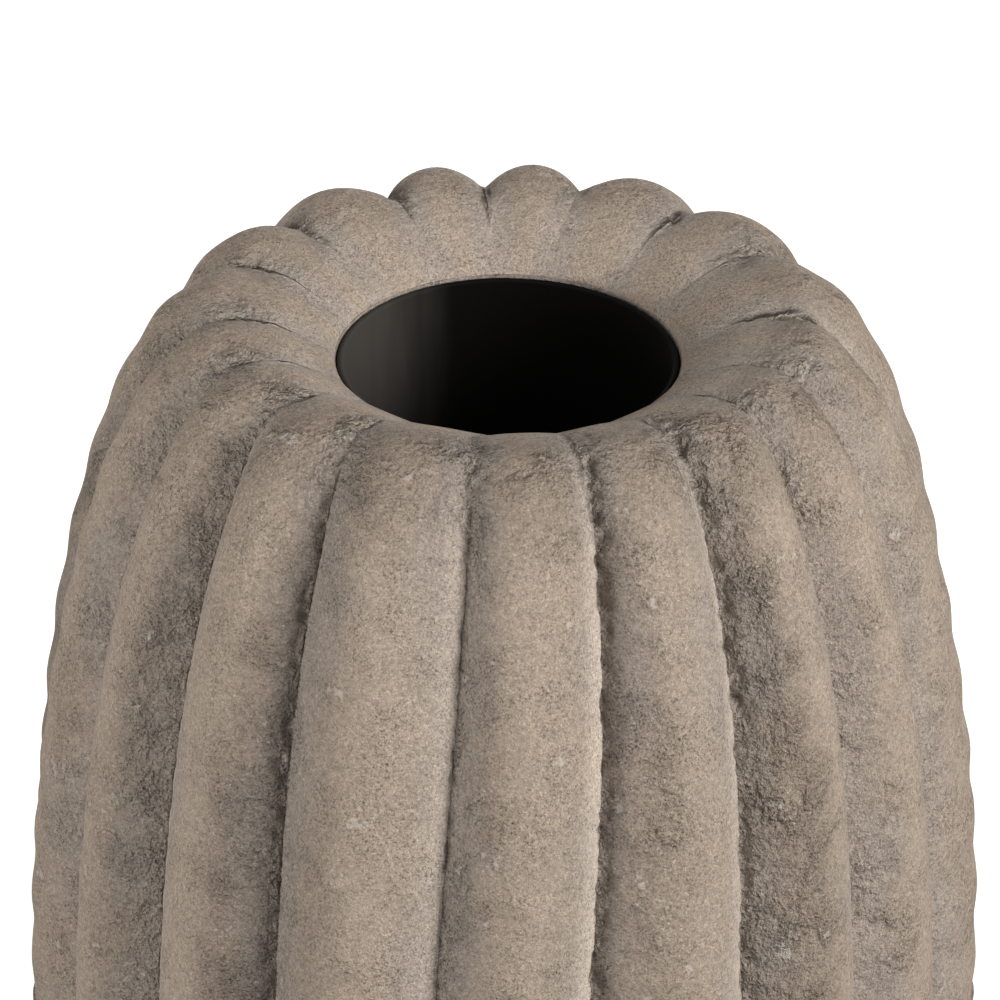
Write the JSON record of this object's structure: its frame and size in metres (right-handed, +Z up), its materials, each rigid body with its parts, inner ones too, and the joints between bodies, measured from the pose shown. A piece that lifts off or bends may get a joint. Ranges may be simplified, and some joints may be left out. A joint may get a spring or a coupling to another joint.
{
  "type": "urn vase",
  "caption": "Free-standing ovoid vase of rough matte clay, fluted all round with rounded ribs that roll over the shoulder into a sunken mouth, with a black lift-out water insert.",
  "frame": {"origin": "centre of the foot on the surface that the vase stands on", "axes": "+Z up along the vase's axis, -Y towards the side that the picture shows, +X to its right"},
  "size_m": [0.2965, 0.2993, 0.4],
  "materials": {
    "clay": "matte, sandy and unglazed",
    "mortar": "matte",
    "insert_plastic": "smooth satin black",
    "pad_felt": "dense felt"
  },
  "bodies": {
    "vase": {"upper_shell": "clay", "lower_shell": "clay", "joint_mortar": "mortar", "foot_pad_1": "pad_felt", "foot_pad_2": "pad_felt", "foot_pad_3": "pad_felt", "foot_pad_4": "pad_felt"},
    "insert": {"water_insert": "insert_plastic"}
  },
  "joints": [
    {"name": "insert_lift", "type": "slide", "parent": "vase", "child": "insert", "axis": [0, 0, 1], "range_m": [0, 0.38]}
  ]
}
